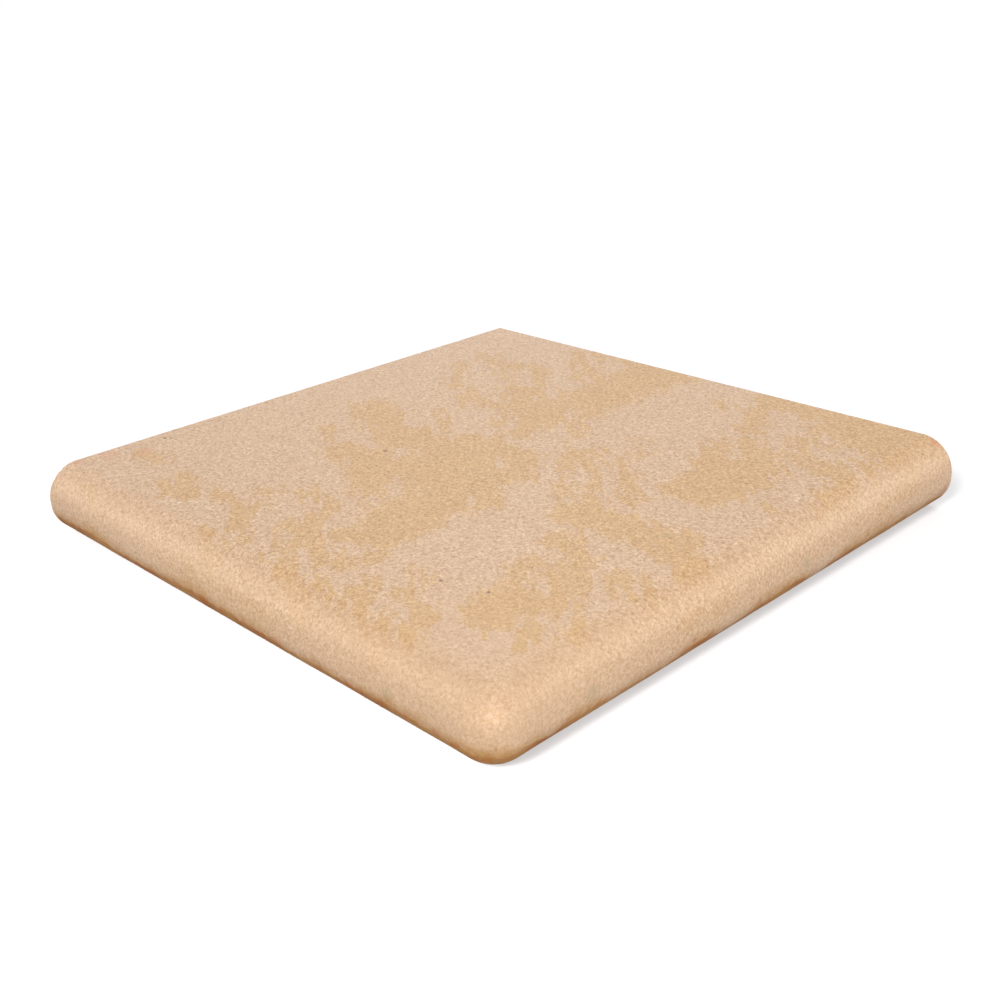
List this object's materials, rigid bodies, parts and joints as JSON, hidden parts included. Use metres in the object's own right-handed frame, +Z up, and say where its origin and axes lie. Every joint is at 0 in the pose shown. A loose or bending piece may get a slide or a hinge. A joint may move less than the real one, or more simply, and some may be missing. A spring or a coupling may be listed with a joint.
{
  "type": "corner stair nosing tile",
  "caption": "Square stoneware step tile with full-round nosings on two adjacent sides that meet in a ball corner, and a recessed, grooved underside.",
  "frame": {"origin": "on the floor plane that the nosings' feet stand on, under the middle of the square outline", "axes": "+Z up out of the walking face; the front nosing runs along -Y and the side nosing along +X, so the ball corner is at +X -Y and the cut joint sides are at -X and +Y"},
  "size_m": [0.33, 0.33, 0.038],
  "materials": {
    "stoneware": "satin-matt sand-coloured glaze with soft ochre clouding on top and nosings, bare orange-brown clay on the cut sides and underside"
  },
  "bodies": {
    "root": {"corner_nosing_tile": "stoneware"}
  },
  "joints": []
}
